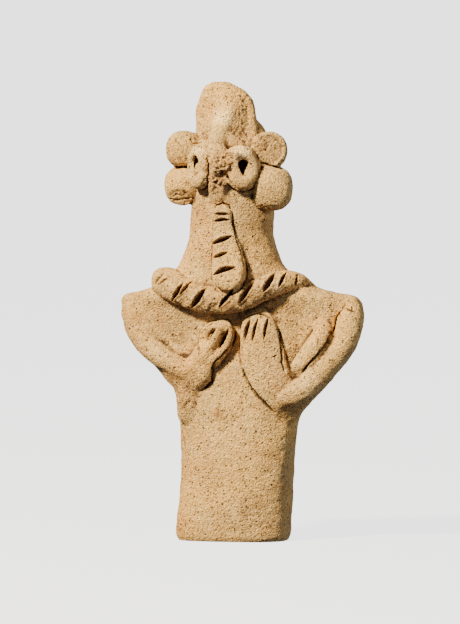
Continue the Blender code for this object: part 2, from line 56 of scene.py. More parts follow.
# The studio's floor: how far it lies flat, how widely it curves up, in how many steps, and how
# many sides it has
FLOOR_REACH = 3.2
FLOOR_CURVE = 1.6
FLOOR_STEPS = 16
FLOOR_SIDES = 96

# The height that the lamps are turned to
LAMP_AIM_HEIGHT = 0.09

# The core. Each row is a level section: its height, its right and left edges, how far it
# reaches to the front and to the back, and how square it is.
CORE_SECTIONS = (
    (-2.0, -20.2, 18.4, 12.3, 12.1, 3.0),
    (0.4, -20.4, 18.6, 12.4, 12.2, 3.0),
    (3.2, -20.7, 19.1, 12.6, 12.2, 3.0),
    (12.3, -19.9, 19.6, 12.4, 12.0, 2.9),
    (27.7, -19.0, 20.5, 12.1, 11.5, 2.8),
    (36.0, -19.3, 21.2, 12.0, 11.2, 2.8),
    (41.6, -19.5, 22.2, 11.9, 10.9, 2.8),
    (45.8, -20.1, 23.9, 11.7, 10.6, 2.8),
    (51.4, -21.4, 27.0, 11.1, 10.0, 2.6),
    (57.0, -23.8, 32.2, 10.4, 9.3, 2.5),
    (61.2, -27.4, 35.6, 9.9, 8.9, 2.5),
    (65.4, -31.4, 39.4, 9.4, 8.4, 2.6),
    (69.6, -35.4, 42.6, 9.1, 8.0, 2.6),
    (73.8, -39.0, 44.6, 9.0, 7.8, 2.6),
    (78.0, -40.8, 45.3, 9.0, 7.8, 2.6),
    (81.0, -40.6, 45.0, 9.1, 7.8, 2.6),
    (83.6, -40.6, 44.4, 9.4, 7.9, 2.6),
    (85.4, -38.8, 41.6, 9.7, 8.1, 2.5),
    (87.2, -31.4, 32.4, 10.1, 8.4, 2.4),
    (91.0, -24.2, 22.0, 10.7, 9.0, 2.5),
    (94.8, -20.6, 17.8, 11.2, 9.6, 2.4),
    (99.0, -18.6, 15.5, 11.5, 10.3, 2.3),
    (105.9, -16.2, 13.2, 11.6, 10.8, 2.2),
    (114.3, -15.8, 13.3, 11.6, 11.1, 2.2),
    (122.0, -15.0, 12.0, 11.4, 11.0, 2.3),
    (131.0, -14.4, 10.8, 10.6, 9.6, 2.5),
    (138.0, -14.2, 9.0, 9.2, 7.6, 2.5),
    (142.3, -14.1, 7.9, 7.4, 6.0, 2.5),
    (147.9, -14.0, 7.1, 5.9, 5.0, 2.5),
    (150.7, -13.8, 6.6, 5.4, 4.7, 2.6),
    (153.6, -12.9, 5.6, 4.8, 4.3, 2.6),
    (156.0, -12.1, 3.4, 4.2, 3.8, 2.6),
    (157.9, -10.9, 0.4, 3.6, 3.3, 2.5),
    (159.0, -9.4, -1.8, 2.6, 2.4, 2.3),
    (159.6, -7.6, -4.0, 1.2, 1.2, 2.0),
)

# Rolls of clay: x, y, z and radius along the middle line, then how flat and how square
ROLLS = {
    "left_arm": ((
        (40.4, -2.6, 82, 3.95), (41.6, -4.4, 78.4, 4.47), (41.3, -5.6, 74.4, 4.58),
        (39.8, -6.4, 69.6, 4.58), (37, -7.2, 65.3, 4.37), (33.7, -7.8, 61.3, 4.47),
        (29.2, -8.2, 56.7, 4.89), (24.8, -8.2, 52.8, 5.42), (20.4, -8.2, 50.4, 5.2),
    ), 1.0, 2.0),
    "left_elbow": ((
        (26.0, -4.4, 53.8, 4.6), (22.6, -5.8, 49.4, 4.6), (20.4, -6.4, 45.6, 4.0),
    ), 1.0, 2.0),
    "right_arm": ((
        (-35.8, -2.4, 79, 4.16), (-34.4, -3.8, 74.2, 4.5), (-30.2, -5.6, 68.6, 4.4),
        (-24.4, -7.4, 63.6, 4.0), (-19, -8.4, 60.6, 4.0), (-14.8, -8.8, 59.8, 4.2),
        (-11.4, -9.2, 61.6, 4.4), (-8.6, -9.6, 65.4, 4.2),
    ), 1.0, 2.0),
    "right_elbow": ((
        (-17.6, -5.2, 57.0, 4.8), (-15.4, -6.0, 52.6, 4.8), (-15.2, -6.8, 48.2, 4.4),
        (-15.8, -7.4, 44.0, 3.6),
    ), 1.0, 2.0),
    "right_heel": ((
        (-14.4, -7.6, 59.4, 4.6), (-13.6, -7.4, 56.0, 4.6), (-13.0, -7.0, 53.2, 3.8),
    ), 1.0, 2.0),
    "under_arm": ((
        (-26.0, -3.4, 63.8, 4.0), (-21.4, -4.6, 59.2, 4.2), (-17.8, -5.6, 55.8, 4.4),
    ), 1.0, 2.0),
    "right_breast": ((
        (-31.0, -1.8, 80.6, 5.2), (-28.4, -2.2, 76.2, 5.6), (-24.0, -2.6, 72.0, 5.8),
    ), 1.0, 2.0),
    "chest_roll": ((
        (31.8, -7.4, 75.2, 2.9), (32.6, -8.2, 72.6, 3.6), (30.6, -8.6, 68.8, 4.0),
        (27.6, -8.7, 64.4, 4.0), (25.0, -8.5, 61.0, 3.6), (24.0, -8.0, 58.8, 3.0),
    ), 1.0, 2.0),
    "left_hand": ((
        (18.4, -8.8, 50.6, 6.45), (15.2, -9.2, 55.2, 7.35), (12.9, -9.4, 60.4, 7.5),
        (11.4, -9.4, 66.6, 7.35), (10.5, -9.4, 71.8, 6.98), (10.1, -9.3, 74.6, 6.45),
    ), 0.46, 3.0),
    "right_palm": ((
        (-10, -9.0, 63, 4.2), (-6.8, -9.2, 67, 4.6), (-4.6, -9.2, 70.6, 4.8),
        (-3.4, -9.0, 72.6, 4.2),
    ), 0.46, 2.8),
    "right_wrist": ((
        (-8.4, -9.6, 63.6, 3.6), (-9.4, -9.6, 60.6, 3.9), (-9.9, -9.6, 57.9, 3.8),
        (-11.2, -9.2, 55.6, 3.2),
    ), 1.0, 2.4),
    "right_thumb": ((
        (-3.4, -11.4, 75.6, 1.5), (-1.2, -11.5, 75.3, 1.6), (0.0, -11.4, 73.4, 1.6),
        (-0.1, -11.2, 70.8, 1.6), (-1.2, -11.0, 68.2, 1.8), (-3.4, -10.8, 65.8, 2.3),
        (-6.4, -10.2, 63.4, 3.2),
    ), 1.0, 2.0),
    "right_finger": ((
        (-3.2, -12.0, 74.4, 1.7), (-4.4, -12.4, 72.0, 1.8), (-5.6, -12.2, 69.6, 2.0),
        (-7.4, -11.4, 66.6, 2.6),
    ), 1.0, 2.0),
    "right_knuckles": ((
        (-4.0, -11.2, 75.2, 1.6), (-6.0, -10.5, 74.6, 1.8), (-8.0, -10.1, 73.2, 1.8),
        (-9.0, -9.8, 70.9, 1.8), (-9.0, -9.8, 68.2, 2.2),
    ), 1.0, 2.0),
    "necklace": ((
        (-24.4, 2.6, 90.2, 4.39), (-24.2, -2.2, 90.4, 5.2), (-22.2, -6.6, 89.4, 5.51),
        (-17.8, -8.9, 87, 5.41), (-11.4, -10.3, 84.8, 5.2), (-5.3, -11.0, 83.9, 5.1),
        (0.4, -11.0, 84.1, 5.1), (6.4, -10.6, 85.7, 5), (11.6, -9.8, 88, 4.79),
        (17, -8, 90.2, 4.5), (21.4, -4.8, 90.6, 4.0), (24.8, -2, 89.6, 2.5),
        (27.4, 0.4, 88.2, 1.22),
    ), 0.86, 2.5),
    "beard": ((
        (-2.4, -11.7, 114.0, 3.3), (-2.3, -11.7, 111.6, 3.5), (-1.6, -11.7, 106.2, 4.3),
        (-0.6, -11.7, 100.8, 5.3), (-0.1, -12.4, 96.2, 5.9), (0.4, -14.2, 92.4, 5.6),
    ), 0.50, 4.0),
    "throat": ((
        (-2.8, -10.6, 90.6, 2.7), (0.4, -10.8, 90.6, 2.9), (3.4, -10.6, 90.8, 2.7),
    ), 1.0, 2.0),
    "nose": ((
        (-2.2, 0.4, 152.0, 5.4), (-2.6, -1.6, 148.4, 5.4), (-3.2, -4.0, 144.8, 4.6),
        (-4.4, -6.8, 141.6, 3.4), (-5.0, -9.4, 138.8, 2.8), (-4.2, -11.0, 135.6, 3.6),
        (-3.2, -11.8, 131.4, 4.4), (-3.4, -11.3, 127.6, 4.0), (-4.0, -10.4, 123.8, 3.8),
        (-4.0, -8.9, 119.8, 3.6),
    ), 1.0, 2.4),
    "brow": ((
        (-1.8, -6.4, 140.6, 2.6), (0.4, -7.0, 139.0, 2.6), (2.6, -7.4, 138.2, 2.2),
    ), 1.0, 2.0),
    "left_eye_coil": ((
        (-1.0, -12.4, 132.2, 2.7), (1.6, -13.0, 134.4, 2.6), (4.6, -12.5, 135.2, 2.6),
        (7.4, -10.9, 133.4, 2.5), (8.4, -10.1, 130.0, 2.4), (7.4, -10.8, 126.6, 2.7),
        (4.8, -12.0, 124.8, 3.0), (1.6, -12.9, 126.4, 2.5),
    ), 1.0, 2.0),
    "right_eye_coil": ((
        (-7.6, -13.6, 130.6, 2.1), (-8.4, -13.3, 134.0, 2.5), (-10.6, -12.2, 135.4, 2.4),
        (-12.8, -10.7, 133.4, 1.9), (-13.5, -10.1, 130.4, 1.6), (-12.9, -10.7, 127.2, 2.1),
        (-10.8, -12.0, 125.0, 2.7), (-8.4, -13.0, 127.0, 2.3),
    ), 1.0, 2.0),
}

# Pellets of clay: the middle, the half sizes across, through and up, and the turn to the
# figure's left in degrees
PELLETS = {
    "head_back": (-1.5, 3.6, 131, 13.23, 8.32, 17.89, 0),
    "left_eye": (4.6, -9.8, 130.6, 5.3, 4.0, 6.9, 20),
    "right_eye": (-10.4, -10.2, 130.6, 5.0, 3.0, 6.8, -42),
    "ear_lobe_0": (-17.7, -3.2, 136.0, 6.3, 5.4, 6.5, -12),
    "ear_lobe_1": (-18.0, -3.4, 123.5, 6.6, 5.6, 6.9, -12),
    "ear_lobe_2": (12.8, -5.2, 136.0, 6.4, 5.4, 6.4, 12),
    "ear_lobe_3": (14.0, -5.8, 122.8, 7.2, 5.6, 7.8, 12),
}

# Strokes of the tool: how wide to each side, how deep, how much clay is pushed up beside
# them, and their points as x and z
STROKES = (
    (0.60, 2.0, 0.14, ((-27.3, 89.0), (-23.3, 93.8))),
    (0.45, 1.4, 0.08, ((-25.4, 88.8), (-23.4, 90.6), (-20.8, 92.2))),
    (0.85, 3.4, 0.28, ((-20.2, 83.4), (-18.2, 86.4), (-16.0, 90.0))),
    (0.60, 2.6, 0.16, ((-16.8, 85.9), (-13.5, 90.5))),
    (1.20, 4.4, 0.36, ((-12.9, 81.4), (-10.7, 84.0), (-7.9, 88.3))),
    (0.90, 4.2, 0.30, ((-2.8, 81.6), (-0.4, 84.6), (2.4, 88.2))),
    (1.05, 4.4, 0.32, ((4.0, 83.0), (6.2, 86.4), (9.1, 91.0))),
    (1.20, 3.2, 0.26, ((12.6, 87.2), (14.2, 90.2), (16.0, 93.8))),
    (0.70, 2.8, 0.16, ((17.8, 88.8), (19.8, 94.0))),
    (0.45, 1.6, 0.08, ((23.0, 89.0), (23.4, 93.0))),
    (0.65, 1.8, 0.14, ((-5.2, 114.0), (0.6, 113.9))),
    (0.70, 2.0, 0.14, ((-5.4, 111.4), (-2.4, 111.9), (0.6, 111.9))),
    (0.95, 3.0, 0.26, ((-5.8, 103.5), (-2.6, 104.9), (1.4, 106.4))),
    (0.75, 2.0, 0.14, ((-5.1, 98.8), (0.1, 101.0))),
    (1.00, 3.0, 0.26, ((-4.6, 93.1), (-1.4, 94.8), (3.2, 95.9))),
    (0.85, 1.9, 0.16, ((5.2, 69.6), (6.2, 74.0), (7.4, 77.6))),
    (0.65, 1.7, 0.14, ((8.3, 69.6), (9.2, 74.6), (10.3, 78.0))),
    (0.75, 1.8, 0.14, ((12.5, 70.4), (13.2, 75.0), (13.9, 78.4))),
    (0.95, 2.6, 0.10, ((-3.6, 67.2), (-1.6, 71.0), (0.0, 74.2))),
    (1.15, 1.9, 0.00, ((-8.0, 69.8), (-6.4, 72.6), (-4.2, 74.6))),
    (0.40, 1.0, 0.05, ((-7.4, 69.2), (-6.2, 71.2))),
    (0.50, 1.6, 0.00, ((-11.4, 68.6), (-9.9, 66.2))),
    (0.60, 2.4, 0.00, ((-12.0, 129.4), (-11.7, 132.0), (-11.5, 134.2))),
    (0.35, 1.0, 0.05, ((17.2, 65.3), (15.4, 64.5))),
    (0.80, 2.6, 0.06, ((6.2, 55.4), (10.4, 50.4), (13.2, 47.6), (16.2, 44.6))),
    (0.40, 1.4, 0.00, ((40.0, 81.6), (44.2, 80.2))),
    (0.35, 0.9, 0.00, ((42.4, 82.6), (43.0, 80.6))),
    (0.50, 1.6, 0.06, ((-17.8, 38.6), (-17.0, 34.6), (-15.8, 30.6))),
)

# Fine cracks where one piece of clay lies on another: how wide to each side, how deep, and
# their points as x and z
SEAMS = (
    (0.35, 1.0, ((40.6, 84.0), (38.6, 80.8), (36.9, 78.2), (36.2, 74.4), (35.0, 70.4))),
    (0.50, 1.7, ((35.6, 72.4), (34.6, 69.8), (33.0, 67.4), (30.4, 64.4), (27.6, 61.4),
                 (25.6, 59.0))),
    (0.50, 1.1, ((20.2, 58.6), (18.9, 62.2), (18.5, 67.9), (17.6, 72.8), (16.4, 75.6))),
    (0.55, 1.3, ((4.0, 61.6), (5.2, 58.0), (8.2, 52.8), (11.2, 49.4), (15.6, 45.4))),
    (0.30, 0.5, ((3.9, 61.0), (3.1, 68.0), (3.1, 72.6))),
    (0.45, 1.0, ((3.0, 73.4), (4.4, 76.8), (6.6, 78.8), (9.6, 79.6), (12.8, 79.0),
                 (15.4, 77.4))),
    (0.40, 1.1, ((-5.6, 116.0), (-5.7, 111.0), (-5.9, 105.0), (-6.1, 100.0), (-6.2, 95.0),
                 (-5.8, 91.4), (-4.4, 88.0), (-1.8, 86.4))),
    (0.35, 1.1, ((1.2, 115.6), (1.6, 110.4), (3.1, 105.0), (5.1, 100.0), (6.2, 95.2),
                 (6.2, 91.6), (4.7, 87.8), (1.8, 86.2), (-1.8, 86.4))),
    (0.35, 1.0, ((-5.4, 115.4), (-4.4, 117.0), (-2.2, 117.8), (0.0, 117.0), (0.9, 115.4))),
    (0.45, 2.2, ((-24.6, 129.5), (-21.0, 129.6), (-17.0, 130.0), (-13.6, 130.0))),
    (0.40, 1.8, ((10.6, 131.8), (13.4, 131.0), (16.0, 130.2), (19.6, 129.4))),
    (0.35, 0.8, ((10.9, 130.8), (10.5, 127.0), (8.4, 123.0), (4.6, 121.3), (1.6, 122.3),
                 (-0.6, 125.0))),
    (0.35, 0.8, ((-14.2, 134.6), (-15.2, 130.8), (-14.8, 127.2), (-13.4, 124.0), (-11.2, 122.2),
                 (-8.8, 122.4), (-7.2, 124.4))),
    (0.30, 0.9, ((-7.5, 120.8), (-7.3, 124.4), (-6.6, 128.0), (-6.5, 131.4), (-7.0, 134.0))),
    (0.50, 1.4, ((-0.8, 127.8), (0.8, 125.4), (3.0, 123.0), (5.4, 121.6))),
    (0.35, 0.8, ((-10.8, 138.6), (-13.6, 138.2), (-14.6, 140.2))),
    (0.40, 0.9, ((-10.2, 69.8), (-9.8, 72.6), (-8.4, 74.8), (-5.4, 76.3), (-3.2, 77.0),
                 (-1.0, 77.1), (0.8, 75.8))),
    (0.45, 1.3, ((1.6, 74.0), (1.6, 70.9), (0.8, 68.4), (-0.7, 66.5), (-2.8, 64.3),
                 (-5.0, 62.3), (-5.8, 60.4), (-5.9, 58.0), (-6.3, 55.6), (-8.2, 53.8),
                 (-10.9, 51.9))),
    (0.40, 0.4, ((-23.6, 119.0), (-20.0, 118.5), (-16.6, 118.9), (-13.2, 119.4))),
)

# Hollows left by thumbs: x and z of the middle, the reach across and up, and the depth
HOLLOWS = (
    (-21.0, 74.0, 10.0, 6.0, 0.8), (-18.6, 70.4, 6.6, 4.0, 0.7),
    (25.0, 80.0, 9.0, 5.0, 0.6), (22.4, 68.6, 3.2, 7.0, 0.5), (23.0, 57.6, 3.0, 2.8, 0.8),
    (6.0, 149.4, 4.4, 9.0, 2.0), (-11.2, 148.0, 3.6, 9.0, 0.9), (4.6, 141.6, 5.0, 3.2, 1.2),
    (20.6, 43.2, 9.0, 4.4, 1.0), (-10.6, 141.0, 3.2, 3.0, 1.4), (-3.4, 117.2, 5.0, 2.0, 0.4),
    (5.4, 131.0, 2.6, 3.4, 0.7), (-11.8, 131.8, 1.6, 2.8, 0.5), (-8.4, 121.4, 1.8, 3.0, 0.5),
    (5.0, 120.6, 4.0, 1.8, 0.4), (6.4, 101.0, 1.6, 9.0, 0.3), (-1.6, 127.4, 2.2, 1.7, 2.0),
)

# Only what lies this far forward, in millimetres, and faces forward this much is carved
FRONT_LIMIT = -2.0
FRONT_FACING = -0.1

# Eye holes: the middle of the mouth, half the width, how far it reaches up and down, the
# depth, and the turn to the figure's left in degrees
EYE_HOLES = (
    (5.6, 131.2, 1.85, 1.5, 3.8, 5.5, 20.0),
    (-11.8, 132.0, 1.35, 2.0, 2.8, 5.0, -40.0),
)

# Old breaks, worn flat: a point of the break, the way it faces, and how far it reaches. The
# break fades out over its edge.
BREAKS = (
    (-2.2, -15.2, 131.0, 0.20, -1.0, 0.06, 6.4),
    (-4.0, -13.9, 124.0, -0.06, -1.0, -0.42, 5.4),
    (13.0, -7.7, 136.2, 0.30, -1.0, 0.06, 6.6),
    (4.4, -3.6, 155.0, 0.62, -0.62, 0.62, 8.0),
    (-18.4, -6.6, 119.2, -0.10, -1.0, -0.60, 5.0),
)
BREAK_EDGE = 1.6

# Where wet clay was smeared until no seam showed: the middle, the reach, and how often
SMEARED = (
    (-29.0, -7.5, 75.0, 7.0, 120), (-20.0, -9.0, 54.0, 5.0, 120), (-16.0, -11.5, 45.0, 5.0, 100),
    (27.0, -9.0, 48.0, 5.0, 90), (21.0, -11.0, 43.0, 6.5, 110), (-18.0, -9.0, 71.0, 6.5, 120),
    (-13.2, -11.4, 55.6, 4.6, 80), (-36.0, -6.0, 79.0, 6.0, 80), (40.0, -6.0, 82.0, 3.0, 60),
    (-3.4, -5.0, 149.0, 9.0, 70), (-10.6, -11.2, 61.6, 4.0, 90), (28.0, -9.0, 76.0, 3.0, 60),
    (-4.2, -12.0, 120.0, 3.2, 60), (-1.6, -10.6, 139.6, 3.4, 60), (-3.0, 6.0, 147.0, 9.0, 60),
    (-22.0, -9.0, 58.0, 4.6, 90),
)

# Layers of noise: how far each swells, the size of its lumps, its seed and its octaves. The
# first table is the hand's unevenness all over, the second the crumbs in the breaks.
UNEVENNESS = ((0.26, 9.0, 5, 2), (0.12, 2.6, 6, 2), (0.07, 0.9, 7, 1))
CRUMBS = ((0.7, 1.3, 3, 3), (0.6, 0.75, 4, 1))

# How deep the faint scratches are, how far the hand wavered in a stroke, and in what lengths
SCRATCH_DEPTH = 0.03
STROKE_WAVER = 0.16
WAVER_LENGTH = 2.4

# The worn edge of the foot: how high the wear reaches, and how far it goes in
FOOT_WEAR_HEIGHT = 1.6
FOOT_WEAR = 0.55

# Where the surface is crumbled: the middle, the reach, and how rough it is
CRUMBLED = (
    (-2.6, -15.0, 131.6, 5.6, 0.80), (-4.2, -13.6, 125.0, 4.8, 0.85),
    (-4.6, -12.4, 138.0, 3.0, 0.42), (13.0, -9.6, 136.4, 6.6, 0.52),
    (3.6, -3.0, 155.0, 8.0, 0.42), (-6.0, -2.0, 158.6, 5.0, 0.28),
    (4.0, -5.0, 148.0, 6.4, 0.26), (3.4, -6.4, 141.0, 5.6, 0.44),
    (-11.6, -6.4, 140.6, 3.8, 0.50), (-16.0, -11.0, 49.0, 5.6, 0.55),
    (-18.0, -7.0, 118.6, 5.0, 0.45), (14.0, -8.0, 117.6, 5.4, 0.36),
    (42.4, -5.0, 82.0, 4.0, 0.36), (12.0, -12.0, 9.0, 8.0, 0.26),
    (17.0, -12.0, 54.0, 6.0, 0.24),
)

# Where the clay was pressed in lumps and dragged by the tool: the same values
LUMPY = (
    (-24.0, -6.0, 90.0, 6.0, 0.40), (-16.0, -14.0, 86.0, 7.0, 0.52), (-6.0, -15.0, 83.6, 7.0, 0.55),
    (4.0, -15.0, 85.0, 7.0, 0.55), (13.0, -13.0, 89.0, 7.0, 0.52), (21.0, -8.0, 91.0, 6.0, 0.45),
    (0.0, -17.0, 93.0, 5.0, 0.34), (-3.0, -14.0, 113.0, 4.0, 0.30),
    (-16.0, -12.0, 48.0, 6.0, 0.40),
)

# Patches of redder clay, of pale clay with painted highlight, and of dirt with painted shade: the
# middle, the reach, and the strength
WARM = (
    (-14.0, -13.0, 60.0, 9.0, 0.8), (17.0, -12.0, 55.0, 6.0, 0.6), (24.0, -8.0, 57.6, 3.4, 1.0),
    (-3.6, -11.7, 44.6, 1.9, 2.4), (-2.6, -15.0, 130.0, 7.0, 0.4), (-3.0, -11.0, 70.0, 5.0, 0.5),
    (-30.0, -8.0, 66.0, 8.0, 0.5), (13.0, -6.0, 116.0, 6.0, 0.4), (-18.0, -6.0, 118.0, 6.0, 0.4),
    (12.0, -12.0, 66.0, 7.0, 0.3), (-19.0, -9.0, 22.0, 8.0, 1.2), (-19.0, -9.0, 6.0, 8.0, 1.2),
    (15.0, -12.0, 6.0, 7.0, 0.7), (0.0, -12.0, 2.0, 9.0, 0.4), (-30.0, -6.0, 82.0, 8.0, 0.5),
    (-10.0, -5.0, 151.0, 6.0, 1.0), (-12.0, -9.6, 110.0, 9.0, 1.0), (-19.6, -8.0, 36.0, 6.0, 0.9),
    (-37.0, -5.0, 78.0, 7.0, 0.8), (-19.0, -5.0, 134.0, 6.0, 0.5),
)
# The pale patches on the eye tops and the crest's ridge are painted highlight; the rest are pale clay
# and chips.
PALE = (
    (14.0, -13.0, 58.0, 7.0, 0.4), (5.0, -13.6, 134.6, 4.0, 1.3), (-9.4, -13.0, 134.4, 3.6, 1.3),
    (-3.4, -6.0, 146.5, 4.4, 1.4), (-27.0, -9.0, 66.0, 6.0, 0.5), (28.0, -12.0, 56.0, 6.0, 0.5),
    (17.0, -13.0, 88.6, 2.4, 1.2), (-4.0, -12.0, 34.0, 10.0, 0.3), (-20.0, -10.0, 88.0, 5.0, 0.5),
    (12.4, -11.0, 76.4, 1.2, 1.5), (-1.5, -14.5, 107.0, 4.0, 0.5),
)
# The dirt patches on the necklace's lower side, the neck's right side, the crest's right half, beside
# the nose's bridge and under the right forearm are painted shade; the rest are dirt and dark specks.
DIRT_AND_SHADE = (
    (-16.0, -14.0, 83.4, 6.0, 0.6), (-6.0, -15.6, 81.0, 7.0, 0.8), (4.0, -15.6, 82.0, 7.0, 0.8),
    (12.0, -13.6, 85.4, 6.0, 0.7), (8.0, -10.0, 110.0, 8.0, 0.5), (11.0, -8.0, 98.0, 8.0, 0.5),
    (5.8, -12.6, 10.4, 2.6, 1.0), (12.0, -12.4, 13.0, 6.0, 0.6), (16.0, -11.0, 30.0, 7.0, 0.4),
    (-8.0, -12.0, 28.0, 9.0, 0.3), (18.0, -12.0, 46.0, 6.0, 0.6), (-3.0, -14.0, 126.0, 5.0, 0.6),
    (6.4, -7.0, 149.0, 6.0, 0.9), (20.0, -9.0, 78.0, 9.0, 0.3), (-20.0, -9.0, 76.0, 8.0, 0.3),
    (-3.6, -11.7, 44.6, 1.8, 1.8), (17.0, -10.5, 8.5, 0.9, 3.0), (15.8, -11.2, 19.5, 0.8, 3.0),
    (8.0, -12.0, 18.0, 0.7, 3.0), (-17.5, -10.5, 3.0, 6.0, 0.5), (-17.5, -10.5, 26.0, 4.0, 0.4),
    (-37.0, -6.0, 76.0, 6.0, 0.4), (-16.0, -11.0, 47.0, 5.0, 0.5), (-20.0, -9.6, 55.0, 5.0, 1.1),
    (-14.0, -12.0, 54.0, 3.8, 0.9), (3.4, -8.4, 141.6, 4.6, 1.4), (-10.6, -9.0, 141.4, 3.2, 1.2),
    (13.0, -9.0, 137.4, 5.0, 0.9), (-11.0, -10.0, 113.0, 7.0, 0.35), (3.0, -9.5, 118.0, 5.0, 0.4),
)


def spot(x, y, z):
    """A place in metres."""
    return Vector((x * MM, y * MM, z * MM))


def deselect():
    """Leaves nothing selected."""
    for thing in list(bpy.context.selected_objects):
        thing.select_set(False)


def pick(*pieces):
    """Selects these pieces alone, with the first one active."""
    deselect()
    for piece in pieces:
        piece.select_set(True)
    bpy.context.view_layer.objects.active = pieces[0]


def smooth_rows(rows, steps):
    """The rows with more between each two, on a smooth curve through them all."""
    table = np.array(rows, float)
    padded = np.vstack([2 * table[0] - table[1], table, 2 * table[-1] - table[-2]])
    found = []
    for before, here, after, beyond in zip(padded, padded[1:], padded[2:], padded[3:]):
        for step in range(steps):
            t = step / steps
            found.append(0.5 * (
                2 * here + (after - before) * t
                + (2 * before - 5 * here + 4 * after - beyond) * t ** 2
                + (3 * here - before - 3 * after + beyond) * t ** 3
            ))
    found.append(table[-1])
    return found


def rounded(angle, squareness):
    """The cosine and sine of a circle that is pressed towards a square."""
    power = 2 / squareness
    across, through = math.cos(angle), math.sin(angle)
    return math.copysign(abs(across) ** power, across), math.copysign(abs(through) ** power, through)


def draw_out(name, rings):
    """A closed piece of clay, drawn out ring by ring from a disc."""
    deselect()
    bpy.ops.mesh.primitive_circle_add(vertices=len(rings[0]), radius=5 * MM, fill_type="NGON")
    piece = bpy.context.object
    piece.name = name
    bpy.ops.object.mode_set(mode="EDIT")
    mesh = bmesh.from_edit_mesh(piece.data)
    order = [vertex.index for vertex in mesh.verts]
    for vertex, point in zip(mesh.verts, rings[0]):
        vertex.co = point
    for points in rings[1:]:
        bpy.ops.mesh.extrude_region_move()
        mesh = bmesh.from_edit_mesh(piece.data)
        mesh.verts.index_update()
        above = {}
        for vertex in mesh.verts:
            if vertex.select:
                for edge in vertex.link_edges:
                    below = edge.other_vert(vertex)
                    if not below.select:
                        above[below.index] = vertex
        ring = [above[index] for index in order]
        for vertex, point in zip(ring, points):
            vertex.co = point
        order = [vertex.index for vertex in ring]
    bpy.ops.mesh.select_all(action="SELECT")
    bpy.ops.mesh.normals_make_consistent(inside=False)
    bpy.ops.object.mode_set(mode="OBJECT")
    return piece


def model_core():
    """The pinched core: pillar, shoulders, neck, head and crest."""
    rings = []
    for height, right, left, front, back, squareness in smooth_rows(CORE_SECTIONS, ROWS_BETWEEN):
        ring = []
        for index in range(CORE_POINTS):
            across, through = rounded(2 * math.pi * index / CORE_POINTS, squareness)
            reach = back if through > 0 else front
            ring.append(spot((left + right) / 2 + (left - right) / 2 * across, reach * through, height))
        rings.append(ring)
    return draw_out("core", rings)


def model_roll(name):
    """A roll of clay with rounded ends, pressed flat from the front."""
    rows, flatness, squareness = ROLLS[name]
    path = [(spot(*row[:3]), row[3] * MM) for row in smooth_rows(rows, ROWS_BETWEEN)]
    start, start_radius = path[0]
    finish, finish_radius = path[-1]
    backward = (start - path[1][0]).normalized()
    forward = (finish - path[-2][0]).normalized()
    for degrees in ROLL_END_ANGLES:
        reach = math.sin(math.radians(degrees))
        share = math.cos(math.radians(degrees))
        path.insert(0, (start + backward * start_radius * reach, start_radius * share))
        path.append((finish + forward * finish_radius * reach, finish_radius * share))
    side = Vector((0.0, 1.0, 0.0)).cross(backward).normalized()
    rings = []
    for index, (middle, radius) in enumerate(path):
        ahead = path[min(index + 1, len(path) - 1)][0] - path[max(index - 1, 0)][0]
        ahead.normalize()
        side = (side - ahead * side.dot(ahead)).normalized()
        other = ahead.cross(side)
        ring = []
        for step in range(ROLL_POINTS):
            across, through = rounded(2 * math.pi * step / ROLL_POINTS, squareness)
            ring.append(middle + (side * across + other * through * flatness) * radius)
        rings.append(ring)
    return draw_out(name, rings)


def model_pellet(name):
    """A pellet of clay pressed onto the head."""
    x, y, z, across, through, up, turn = PELLETS[name]
    deselect()
    bpy.ops.mesh.primitive_ico_sphere_add(subdivisions=5, radius=1.0)
    piece = bpy.context.object
    piece.name = name
    place = (
        Matrix.Translation(spot(x, y, z))
        @ Matrix.Rotation(math.radians(turn), 4, "Z")
        @ Matrix.Diagonal((across * MM, through * MM, up * MM, 1.0))
    )
    for vertex in piece.data.vertices:
        spread = sum(abs(part) ** PELLET_SQUARENESS for part in vertex.co)
        vertex.co = place @ (vertex.co / spread ** (1 / PELLET_SQUARENESS))
    return piece


def modify(piece, kind, **settings):
    """Adds a modifier and applies it."""
    pick(piece)
    modifier = piece.modifiers.new(kind.lower(), kind)
    for name, value in settings.items():
        setattr(modifier, name, value)
    bpy.ops.object.modifier_apply(modifier=modifier.name)


def press_together(pieces):
    """One body of all the pieces, with the clay smeared where they meet."""
    pick(*pieces)
    bpy.ops.object.join()
    body = bpy.context.object
    body.name = "fired_clay_figurine"
    modify(body, "REMESH", mode="VOXEL", voxel_size=CLAY_VOXEL)
    modify(body, "SMOOTH", factor=0.5, iterations=SMEAR_PASSES)
    return body


def read_surface(piece):
    """The vertices' places and normals, places in millimetres."""
    count = len(piece.data.vertices)
    places = np.empty(count * 3)
    normals = np.empty(count * 3)
    piece.data.vertices.foreach_get("co", places)
    piece.data.vertex_normals.foreach_get("vector", normals)
    return places.reshape(count, 3) / MM, normals.reshape(count, 3)


def write_surface(piece, places):
    """Moves the vertices to these places, in millimetres."""
    piece.data.vertices.foreach_set("co", (places * MM).ravel())
    piece.data.update()


def away_from(places, x, y, z):
    """How far each place lies from one point, in millimetres."""
    return np.linalg.norm(places - (x, y, z), axis=1)


def mottle(places, size, seed, octaves=2):
    """Smooth noise of about -1 to 1 at each place, in lumps of that size in millimetres."""
    shift = Vector((seed * 7.3, seed * 3.1, seed * 5.7))
    return np.array([
        noise.fractal(Vector(place) / size + shift, 0.8, 2.1, octaves) for place in places
    ])


def layered(places, layers):
    """Several layers of noise, added up."""
    total = np.zeros(len(places))
    for height, size, seed, octaves in layers:
        total += height * mottle(places, size, seed, octaves)
    return total


